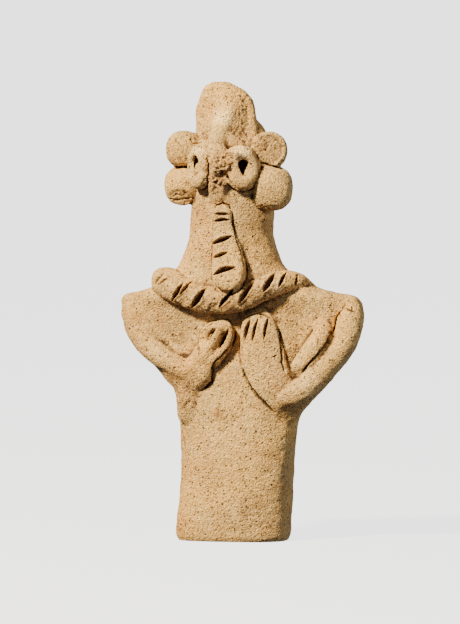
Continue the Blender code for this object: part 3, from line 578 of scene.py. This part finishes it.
def smear(body):
    """Smooths away the seams where the maker's wet thumb went over them."""
    places, _ = read_surface(body)
    keen = np.zeros(len(places))
    for x, y, z, reach, times in SMEARED:
        away = away_from(places, x, y, z) / reach
        keen = np.maximum(keen, times * np.clip(1.5 - 1.5 * away, 0.0, 1.0))
    first, second, _ = neighbours(body)
    touched = (keen[first] > 0) | (keen[second] > 0)
    here = np.unique(np.concatenate([first[touched], second[touched]]))
    first = np.searchsorted(here, first[touched])
    second = np.searchsorted(here, second[touched])
    met = np.maximum(
        np.bincount(first, minlength=len(here)) + np.bincount(second, minlength=len(here)), 1
    )
    local = places[here]
    for turn in range(int(keen.max())):
        weight = np.clip(keen[here] - turn, 0.0, 1.0)[:, None] * 0.6
        local += weight * (neighbour_mean(local, first, second, met) - local)
    places[here] = local
    write_surface(body, places)


def neighbours(body):
    """The two ends of every edge, and how many edges meet at each vertex."""
    edges = np.empty(len(body.data.edges) * 2, int)
    body.data.edges.foreach_get("vertices", edges)
    first, second = edges.reshape(-1, 2).T
    count = len(body.data.vertices)
    return first, second, np.bincount(first, minlength=count) + np.bincount(second, minlength=count)


def neighbour_mean(places, first, second, met):
    """The mean place of each vertex's neighbours."""
    total = np.stack([
        np.bincount(first, places[second, axis], len(places))
        + np.bincount(second, places[first, axis], len(places)) for axis in range(3)
    ], axis=1)
    return total / met[:, None]


def along_stroke(seen, points, reach):
    """The places near a stroke, how far each lies from it, and how far along it, from 0 to 1."""
    corners = np.array(points, float)
    steps = np.linalg.norm(np.diff(corners, axis=0), axis=1)
    reached = np.concatenate([[0.0], np.cumsum(steps)]) / steps.sum()
    low = corners.min(axis=0) - reach
    high = corners.max(axis=0) + reach
    near = np.flatnonzero(np.all((seen > low) & (seen < high), axis=1))
    local = seen[near]
    nearest = np.full(len(local), 1e9)
    share = np.zeros(len(local))
    for index, (start, finish) in enumerate(zip(corners, corners[1:])):
        line = finish - start
        part = np.clip((local - start) @ line / (line @ line), 0.0, 1.0)
        away = np.linalg.norm(local - start - part[:, None] * line, axis=1)
        closer = away < nearest
        nearest[closer] = away[closer]
        share[closer] = (reached[index] + part * (reached[index + 1] - reached[index]))[closer]
    return near, nearest, share


def in_front(places, normals):
    """Whether each place is on the front of the figure."""
    return (places[:, 1] < FRONT_LIMIT) & (normals[:, 1] < FRONT_FACING)


def press_in(body):
    """Presses the thumb hollows and the eye holes into the wet clay."""
    places, normals = read_surface(body)
    seen = places[:, (0, 2)]
    # Full where the clay faces the front, and fading out where it turns aside
    facing = np.clip(-normals[:, 1] * 1.8 - 0.35, 0.0, 1.0) * (places[:, 1] < FRONT_LIMIT)
    sink = np.zeros(len(places))
    for x, z, across, up, depth in HOLLOWS:
        away = np.linalg.norm((seen - (x, z)) / (across, up), axis=1)
        sink += depth * np.exp(-away ** 2 * 1.4)
    places -= normals * (sink * facing)[:, None]
    for x, z, half, up, down, depth, turn in EYE_HOLES:
        inward = np.array((-math.sin(math.radians(turn)), math.cos(math.radians(turn)), 0.0))
        across = (seen[:, 0] - x) / abs(math.cos(math.radians(turn)))
        rise = seen[:, 1] - z
        # The hole narrows downwards, and its walls go in steeply
        pinch = np.where(rise > 0, 1.0, 1.0 - 0.6 * np.clip(-rise / down, 0.0, 1.0))
        away = np.hypot(across / (half * pinch), rise / np.where(rise > 0, up, down))
        pit = np.clip((1.10 - away) / 0.30, 0.0, 1.0)
        pit = pit * pit * (3.0 - 2.0 * pit)
        places += inward * (pit * (facing > 0.0) * depth)[:, None]
    write_surface(body, places)


def refine_strokes(body):
    """Gives the mesh smaller faces where the tool cuts."""
    places, normals = read_surface(body)
    close = np.zeros(len(places), bool)
    for wide, _, _, points in STROKES:
        near, nearest, _ = along_stroke(places[:, (0, 2)], points, wide * 2 + 0.6)
        close[near[nearest < wide * 1.8 + 0.4]] = True
    for wide, _, points in SEAMS:
        near, nearest, _ = along_stroke(places[:, (0, 2)], points, wide * 2 + 0.4)
        close[near[nearest < wide + 0.35]] = True
    close &= in_front(places, normals)
    pick(body)
    bpy.ops.object.mode_set(mode="EDIT")
    bpy.ops.mesh.select_mode(type="VERT")
    mesh = bmesh.from_edit_mesh(body.data)
    for vertex, chosen in zip(mesh.verts, close.tolist()):
        vertex.select = chosen
    mesh.select_flush_mode()
    bpy.ops.mesh.subdivide(number_cuts=1)
    bpy.ops.object.mode_set(mode="OBJECT")


def score(body):
    """Cuts the strokes of the tool and the fine cracks, each straight into the clay."""
    places, normals = read_surface(body)
    seen = places[:, (0, 2)]
    front = in_front(places, normals)
    waver = np.stack([mottle(places, WAVER_LENGTH, seed) for seed in (1, 2)], axis=1)
    seen = seen + waver * STROKE_WAVER
    cut = np.zeros(len(places))
    for wide, deep, lip, points in STROKES:
        near, nearest, share = along_stroke(seen, points, wide * 3 + 0.5)
        # A groove as slender as a leaf, and the bank that the tool pushed up on each side
        leaf = np.sin(np.pi * np.clip(share, 0.02, 0.98)) ** 0.6
        reach = nearest / (wide * leaf)
        groove = deep * leaf * np.clip(1.0 - reach, 0.0, 1.0)
        bank = lip * leaf * np.exp(-((reach - 1.45) / 0.40) ** 2) * (reach > 0.95)
        # The whole stroke goes straight in, against the way that its clay faces on average
        inward = -np.average(normals[near], axis=0, weights=(reach < 1.5) * front[near] + 1e-9)
        inward /= np.linalg.norm(inward)
        places[near] += inward * ((groove - bank) * front[near])[:, None]
        cut[near] = np.maximum(cut[near], np.clip(groove / 1.2, 0.0, 1.0) * front[near])
    sink = np.zeros(len(places))
    for wide, deep, points in SEAMS:
        near, nearest, share = along_stroke(seen, points, wide + 0.5)
        # A crack is a fine V that fades out at both ends
        fade = np.clip(np.sin(np.pi * np.clip(share, 0.01, 0.99)) * 3.0, 0.0, 1.0)
        sink[near] = np.maximum(sink[near], deep * fade * np.clip(1.0 - nearest / wide, 0.0, 1.0))
    places -= normals * (sink * front)[:, None]
    write_surface(body, places)
    # How deep each place is cut, kept for the painted shade in the cuts
    cut = np.maximum(cut, np.clip(sink / 1.6, 0.0, 0.7) * front)
    body.data.attributes.new("cut", "FLOAT", "POINT").data.foreach_set("value", cut)


def break_off(body):
    """Breaks the nose, the hair and the crest where the figure is broken, and crumbles them."""
    places, normals = read_surface(body)
    for x, y, z, face_x, face_y, face_z, reach in BREAKS:
        outward = np.array(Vector((face_x, face_y, face_z)).normalized())
        above = (places - (x, y, z)) @ outward
        near = np.clip((reach - away_from(places, x, y, z)) / BREAK_EDGE, 0.0, 1.0)
        places -= outward * (np.maximum(above, 0.0) * near)[:, None]
    crumbled = roughness_at(places, CRUMBLED)
    here = crumbled > 0.0
    crumbs = layered(places[here], CRUMBS)
    places[here] += normals[here] * (crumbled[here] * crumbs)[:, None]
    lumpy = roughness_at(places, LUMPY)
    here = lumpy > 0.0
    lumps = mottle(places[here], 3.2, 11, 3) - 0.25 * np.abs(mottle(places[here], 1.6, 12, 1))
    places[here] += normals[here] * (lumpy[here] * lumps)[:, None]
    write_surface(body, places)


def roughness_at(places, table):
    """How rough each place is, by a table of rough spots."""
    rough = np.zeros(len(places))
    for x, y, z, reach, how_rough in table:
        away = away_from(places, x, y, z) / reach
        rough = np.maximum(rough, how_rough * np.clip(1.6 - 1.6 * away, 0.0, 1.0))
    return rough


def weather(body):
    """The unevenness of hand work, and wear along the edges of the foot."""
    places, normals = read_surface(body)
    swell = layered(places, UNEVENNESS)
    swell += SCRATCH_DEPTH * mottle(places * (0.5, 0.5, 2.2), 1.5, 8, 1)
    places += normals * swell[:, None]
    # The foot's lower edge is worn in, unevenly
    low = np.clip(1.0 - places[:, 2] / FOOT_WEAR_HEIGHT, 0.0, 1.0) ** 2
    inward = places * (-1.0, -1.0, 0.0)
    inward /= np.linalg.norm(inward, axis=1)[:, None] + 1e-6
    chipped = FOOT_WEAR + 0.5 * mottle(places, 5.0, 9, 2)
    places += inward * (low * chipped * (np.abs(normals[:, 2]) < 0.5))[:, None]
    write_surface(body, places)


def trim_foot(body):
    """Cuts the foot off flat in the ground plane."""
    pick(body)
    bpy.ops.object.mode_set(mode="EDIT")
    bpy.ops.mesh.select_all(action="SELECT")
    bpy.ops.mesh.bisect(
        plane_co=(0.0, 0.0, 0.0), plane_no=(0.0, 0.0, 1.0), use_fill=True, clear_inner=True
    )
    bpy.ops.mesh.select_all(action="SELECT")
    bpy.ops.mesh.quads_convert_to_tris()
    bpy.ops.object.mode_set(mode="OBJECT")


def lighten(body):
    """Brings the body under the most triangles that one piece may have."""
    triangles = sum(len(face.vertices) - 2 for face in body.data.polygons)
    if triangles > MOST_TRIANGLES:
        modify(body, "DECIMATE", ratio=MOST_TRIANGLES / triangles)


def note_wear_and_painted_light(body):
    """Keeps, for the clay's material, how hollow each place is for its painted shade, and how broken,
    warm, pale or painted-highlighted, and dirt-stained or painted-shaded each place is.
    """
    places, normals = read_surface(body)
    first, second, met = neighbours(body)
    # A place is hollow where the surface, smoothed a little and then more, lies outside it
    smooth = places
    depths = []
    for passes in (6, 30):
        for _ in range(passes):
            smooth = neighbour_mean(smooth, first, second, met)
        depths.append(np.einsum("ij,ij->i", smooth - places, normals))
    # How hollow a place is sets the painted shade in the clay's material
    hollow = np.clip(depths[0] / 0.30, -1.0, 1.0) * 0.75 + np.clip(depths[1] / 1.2, -1.0, 1.0) * 0.2
    broken = np.zeros(len(places))
    for x, y, z, reach, how_rough in CRUMBLED:
        away = away_from(places, x, y, z) / reach
        share = min(1.0, max(0.0, how_rough - 0.30) * 2.2)
        broken = np.maximum(broken, share * np.clip(1.8 - 1.8 * away, 0.0, 1.0))
    for name, values in (
        ("hollow", hollow), ("broken", broken),
        ("warm", patches(places, WARM)), ("pale", patches(places, PALE)),
        ("dirt_and_shade", patches(places, DIRT_AND_SHADE)),
    ):
        attribute = body.data.attributes.new(name, "FLOAT", "POINT")
        attribute.data.foreach_set("value", values)


def patches(places, spots):
    """How far each place lies inside the soft-edged spots."""
    inside = np.zeros(len(places))
    for x, y, z, reach, strength in spots:
        away = away_from(places, x, y, z) / reach
        inside += strength * np.exp(-1.6 * away ** 2)
    return np.minimum(inside, 1.5)


def colour(red, green, blue):
    """A colour read off a screen, as the light that the shader works with."""
    parts = [part / 255 for part in (red, green, blue)]
    return tuple(p / 12.92 if p <= 0.04045 else ((p + 0.055) / 1.055) ** 2.4 for p in parts) + (1.0,)


class Recipe:
    """A material's nodes, laid down one after another."""

    def __init__(self, name):
        self.material = bpy.data.materials.new(name)
        self.material.use_nodes = True
        self.tree = self.material.node_tree
        self.shader = self.tree.nodes["Principled BSDF"]
        self.place = self.add("ShaderNodeTexCoord").outputs["Object"]
        self.shaken_place = None

    def add(self, kind, **settings):
        """One more node, with these settings."""
        node = self.tree.nodes.new(kind)
        for name, value in settings.items():
            setattr(node, name, value)
        return node

    def join(self, value, socket):
        """Links the socket to an output, or sets it to a plain value."""
        if isinstance(value, bpy.types.NodeSocket):
            self.tree.links.new(value, socket)
        else:
            socket.default_value = value

    def noise(self, size, detail=2.0, roughness=0.5):
        """Noise of 0 to 1 in lumps of about that size, in millimetres."""
        node = self.add("ShaderNodeTexNoise")
        node.inputs["Scale"].default_value = 1.0 / (size * MM)
        node.inputs["Detail"].default_value = detail
        node.inputs["Roughness"].default_value = roughness
        self.join(self.place, node.inputs["Vector"])
        return node.outputs["Fac"]

    def shaken(self):
        """Places shifted a little by noise, so that specks aren't round."""
        if self.shaken_place is None:
            node = self.add("ShaderNodeTexNoise")
            node.inputs["Scale"].default_value = 1.0 / (0.9 * MM)
            self.join(self.place, node.inputs["Vector"])
            shift = self.add("ShaderNodeVectorMath", operation="MULTIPLY_ADD")
            self.join(node.outputs["Color"], shift.inputs[0])
            shift.inputs[1].default_value = (0.9 * MM,) * 3
            self.join(self.place, shift.inputs[2])
            self.shaken_place = shift.outputs["Vector"]
        return self.shaken_place

    def specks(self, size):
        """The distance to the nearest speck, and that speck's own random colour."""
        node = self.add("ShaderNodeTexVoronoi")
        node.inputs["Scale"].default_value = 1.0 / (size * MM)
        self.join(self.shaken(), node.inputs["Vector"])
        return node.outputs["Distance"], node.outputs["Color"]

    def separate(self, tint):
        """The red part of a speck's random colour, as a random number."""
        node = self.add("ShaderNodeSeparateColor")
        self.join(tint, node.inputs["Color"])
        return node.outputs["Red"]

    def sum(self, operation, first, second=0.0, third=None):
        """One step of arithmetic."""
        node = self.add("ShaderNodeMath", operation=operation)
        self.join(first, node.inputs[0])
        self.join(second, node.inputs[1])
        if third is not None:
            self.join(third, node.inputs[2])
        return node.outputs[0]

    def ramp(self, value, low, high, least=0.0, most=1.0):
        """The value's stretch from low to high, drawn out to run from least to most."""
        node = self.add("ShaderNodeMapRange", interpolation_type="SMOOTHSTEP")
        for name, part in (("Value", value), ("From Min", low), ("From Max", high),
                           ("To Min", least), ("To Max", most)):
            self.join(part, node.inputs[name])
        return node.outputs["Result"]

    def mix(self, share, first, second, blend="MIX"):
        """The first colour with a share of the second."""
        node = self.add("ShaderNodeMix", data_type="RGBA", blend_type=blend)
        node.clamp_factor = True
        self.join(share, node.inputs[0])
        self.join(first, node.inputs[6])
        self.join(second, node.inputs[7])
        return node.outputs[2]

    def attribute(self, name):
        """The values that the figure's surface keeps under this name."""
        return self.add("ShaderNodeAttribute", attribute_name=name).outputs["Fac"]


def fired_clay():
    """Sandy, unglazed fired clay: uneven in colour, pitted and gritty, with painted shade in its
    hollows and cuts, and patches of dirt, painted shade and painted highlight.
    """
    clay = Recipe("fired_clay_sandy")
    # How hollow or cut each place is: painted shade where it sinks in, paler worn edges where it stands
    # out
    hollow = clay.sum("MAXIMUM", clay.attribute("hollow"), clay.attribute("cut"))
    cloud = clay.noise(24.0, 2.0, 0.5)
    patch = clay.noise(8.0, 4.0, 0.6)
    blotch = clay.noise(2.6, 3.0, 0.6)
    sand = clay.noise(0.60, 3.0, 0.70)
    crumb = clay.noise(1.6, 2.0, 0.7)
    grain_distance, grain_random = clay.specks(0.62)
    small_distance, small_random = clay.specks(0.95)
    pit_distance, pit_random = clay.specks(1.7)
    grit_distance, grit_random = clay.specks(1.0)

    # The clay's own colour, in clouds and patches
    tone = clay.mix(clay.ramp(cloud, 0.38, 0.62), colour(204, 156, 88), colour(182, 144, 88))
    tone = clay.mix(clay.ramp(patch, 0.50, 0.70, 0.0, 0.65), tone, colour(206, 168, 104))
    tone = clay.mix(clay.ramp(patch, 0.48, 0.30, 0.0, 0.60), tone, colour(180, 130, 72))
    tone = clay.mix(clay.ramp(blotch, 0.58, 0.72, 0.0, 0.40), tone, colour(166, 118, 66))
    uneven = clay.ramp(blotch, 0.30, 0.70, 0.25, 1.0)
    # The pale patches are partly painted highlight, the dirt patches partly painted shade
    for name, tint in (
        ("pale", colour(248, 208, 142)), ("warm", colour(188, 132, 68)),
        ("broken", colour(180, 132, 78)), ("dirt_and_shade", colour(136, 98, 58)),
    ):
        share = clay.sum("MULTIPLY", clay.attribute(name), uneven)
        tone = clay.mix(share, tone, tint)

    # Each grain of sand a little lighter or darker than the next
    tone = clay.mix(1.0, tone, clay.ramp(clay.separate(grain_random), 0.0, 1.0, 0.80, 1.20), "MULTIPLY")
    tone = clay.mix(1.0, tone, clay.ramp(sand, 0.34, 0.66, 0.84, 1.12), "MULTIPLY")

    # Worn edges paler; painted shade darkens hollows and cuts, the deepest nearly black
    tone = clay.mix(clay.ramp(hollow, -0.02, -0.35, 0.0, 0.30), tone, colour(238, 196, 132))
    tone = clay.mix(clay.ramp(hollow, 0.12, 0.50, 0.0, 0.75), tone, colour(116, 80, 46))
    tone = clay.mix(clay.ramp(hollow, 0.40, 0.80, 0.0, 0.85), tone, colour(52, 34, 20))

    # Pits, and lighter grit
    pit_zone = clay.ramp(crumb, 0.40, 0.58)
    small = clay.sum("MULTIPLY", clay.ramp(small_distance, 0.40, 0.20), pit_zone)
    small = clay.sum("MULTIPLY", small, clay.ramp(clay.separate(small_random), 0.35, 0.65))
    pit = clay.ramp(clay.separate(pit_random), 0.66, 0.86)
    pit = clay.sum("MULTIPLY", clay.ramp(pit_distance, 0.30, 0.12), pit)
    pit = clay.sum("MAXIMUM", pit, small)
    grit = clay.ramp(clay.separate(grit_random), 0.84, 0.92)
    grit = clay.sum("MULTIPLY", clay.ramp(grit_distance, 0.36, 0.20), grit)
    tone = clay.mix(clay.sum("MULTIPLY", pit, 0.85), tone, colour(70, 46, 28))
    tone = clay.mix(clay.sum("MULTIPLY", grit, 0.45), tone, colour(240, 220, 184))
    clay.join(tone, clay.shader.inputs["Base Color"])
    clay.shader.inputs["Roughness"].default_value = 0.93
    clay.shader.inputs["Specular IOR Level"].default_value = 0.15

    relief = clay.sum("MULTIPLY_ADD", sand, 1.1, clay.sum("MULTIPLY", grain_distance, -0.8))
    relief = clay.sum("MULTIPLY_ADD", pit, -1.1, relief)
    relief = clay.sum("MULTIPLY_ADD", grit, 0.35, relief)
    relief = clay.sum("MULTIPLY_ADD", crumb, 0.4, relief)
    bump = clay.add("ShaderNodeBump")
    bump.inputs["Strength"].default_value = 1.0
    bump.inputs["Distance"].default_value = 0.42 * MM
    clay.join(relief, bump.inputs["Height"])
    clay.join(bump.outputs["Normal"], clay.shader.inputs["Normal"])
    return clay.material


def pale_paper():
    """Pale paper that is lit evenly from behind, as on a light table."""
    paper = bpy.data.materials.new("pale_paper")
    paper.use_nodes = True
    shader = paper.node_tree.nodes["Principled BSDF"]
    shader.inputs["Base Color"].default_value = (0.18, 0.18, 0.18, 1.0)
    shader.inputs["Roughness"].default_value = 1.0
    shader.inputs["Specular IOR Level"].default_value = 0.0
    shader.inputs["Emission Color"].default_value = (1.0, 1.0, 1.0, 1.0)
    shader.inputs["Emission Strength"].default_value = 2.60
    return paper


def lay_floor():
    """A pale floor that curves up all round. It is seen, but throws no light on the clay."""
    deselect()
    bpy.ops.mesh.primitive_circle_add(vertices=FLOOR_SIDES, radius=FLOOR_REACH, fill_type="NOTHING")
    floor = bpy.context.object
    floor.name = "floor"
    bpy.ops.object.mode_set(mode="EDIT")
    bpy.ops.mesh.select_all(action="SELECT")
    reach, height = FLOOR_REACH, 0.0
    for step in range(1, FLOOR_STEPS + 1):
        turn = math.pi / 2 * step / FLOOR_STEPS
        further = FLOOR_REACH + FLOOR_CURVE * math.sin(turn)
        higher = FLOOR_CURVE * (1 - math.cos(turn))
        bpy.ops.mesh.extrude_region_move(
            TRANSFORM_OT_translate={"value": (0.0, 0.0, higher - height)}
        )
        bpy.ops.transform.resize(value=(further / reach, further / reach, 1.0))
        reach, height = further, higher
    mesh = bmesh.from_edit_mesh(floor.data)
    for vertex in mesh.verts:
        vertex.select_set(vertex.co.z < 0.001)
    mesh.select_flush_mode()
    bpy.ops.mesh.edge_face_add()
    bpy.ops.object.mode_set(mode="OBJECT")
    floor.data.shade_smooth()
    floor.data.materials.append(pale_paper())
    floor.visible_diffuse = False
    floor.visible_glossy = False


def view_axes():
    """The way to the camera, to its right and up, as it stands to the figure."""
    back = Vector((
        math.sin(VIEW_AZIMUTH) * math.cos(VIEW_HEIGHT),
        -math.cos(VIEW_AZIMUTH) * math.cos(VIEW_HEIGHT),
        math.sin(VIEW_HEIGHT),
    ))
    right = Vector((math.cos(VIEW_AZIMUTH), math.sin(VIEW_AZIMUTH), 0.0))
    return right, back.cross(right), back


def set_camera():
    """Sets the camera where the photograph was taken from."""
    right, up, back = view_axes()
    lens = bpy.data.cameras.new("photo_view")
    lens.sensor_fit = "VERTICAL"
    lens.sensor_height = SENSOR_HEIGHT
    lens.lens = SENSOR_HEIGHT * VIEW_DISTANCE / (PHOTO_HEIGHT * PHOTO_SCALE)
    camera = bpy.data.objects.new("photo_view", lens)
    bpy.context.scene.collection.objects.link(camera)
    aim = right * FRAME_MIDDLE_ACROSS + up * FRAME_MIDDLE_UP
    camera.matrix_world = (
        Matrix.Translation(aim + back * VIEW_DISTANCE)
        @ Matrix((right, up, back)).transposed().to_4x4()
    )
    bpy.context.scene.camera = camera


def set_lamp(name, direction, distance, size, watts, tint):
    """A soft lamp, placed by how far it stands to the camera's right, up and near side."""
    right, up, back = view_axes()
    way = (right * direction[0] + up * direction[1] + back * direction[2]).normalized()
    light = bpy.data.lights.new(name, "AREA")
    light.shape = "DISK"
    light.size = size
    light.energy = watts
    light.color = tint
    lamp = bpy.data.objects.new(name, light)
    bpy.context.scene.collection.objects.link(lamp)
    lamp.location = Vector((0.0, 0.0, LAMP_AIM_HEIGHT)) + way * distance
    lamp.rotation_euler = way.to_track_quat("Z", "Y").to_euler()


def light_studio():
    """A key light from the upper left, a weak one from the right and a dim, bluish room."""
    set_lamp(
        "key_light", direction=(-0.68, 0.72, 0.66), distance=1.3, size=0.20, watts=78.0,
        tint=(1.0, 0.92, 0.67),
    )
    set_lamp(
        "side_light", direction=(1.0, 0.05, 0.30), distance=1.5, size=1.2, watts=13.0,
        tint=(0.90, 0.96, 1.0),
    )
    room = bpy.data.worlds.new("studio")
    room.use_nodes = True
    room.node_tree.nodes["Background"].inputs["Color"].default_value = (0.78, 0.92, 1.30, 1.0)
    room.node_tree.nodes["Background"].inputs["Strength"].default_value = 0.20
    bpy.context.scene.world = room


def model_figurine():
    """The finished figure, as one piece that stands for the solid."""
    pieces = [model_core()]
    pieces += [model_roll(name) for name in ROLLS]
    pieces += [model_pellet(name) for name in PELLETS]
    body = press_together(pieces)
    smear(body)
    press_in(body)
    modify(body, "REMESH", mode="VOXEL", voxel_size=CLAY_VOXEL)
    modify(body, "SMOOTH", factor=0.35, iterations=1)
    break_off(body)
    weather(body)
    refine_strokes(body)
    score(body)
    trim_foot(body)
    lighten(body)
    note_wear_and_painted_light(body)
    body.data.materials.clear()
    body.data.materials.append(fired_clay())
    body.data.shade_smooth()
    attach(body, "root")
    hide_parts("figurine")


def write_sizes():
    """Leaves nothing selected."""
    deselect()


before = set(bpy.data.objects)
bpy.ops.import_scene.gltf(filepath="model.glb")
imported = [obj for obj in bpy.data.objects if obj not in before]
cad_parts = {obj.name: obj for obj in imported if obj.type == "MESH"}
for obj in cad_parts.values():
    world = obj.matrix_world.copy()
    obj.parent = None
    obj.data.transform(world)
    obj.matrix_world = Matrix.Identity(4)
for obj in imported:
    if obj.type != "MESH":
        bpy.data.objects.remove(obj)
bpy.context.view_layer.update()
set_camera()
light_studio()
lay_floor()
model_figurine()
write_sizes()
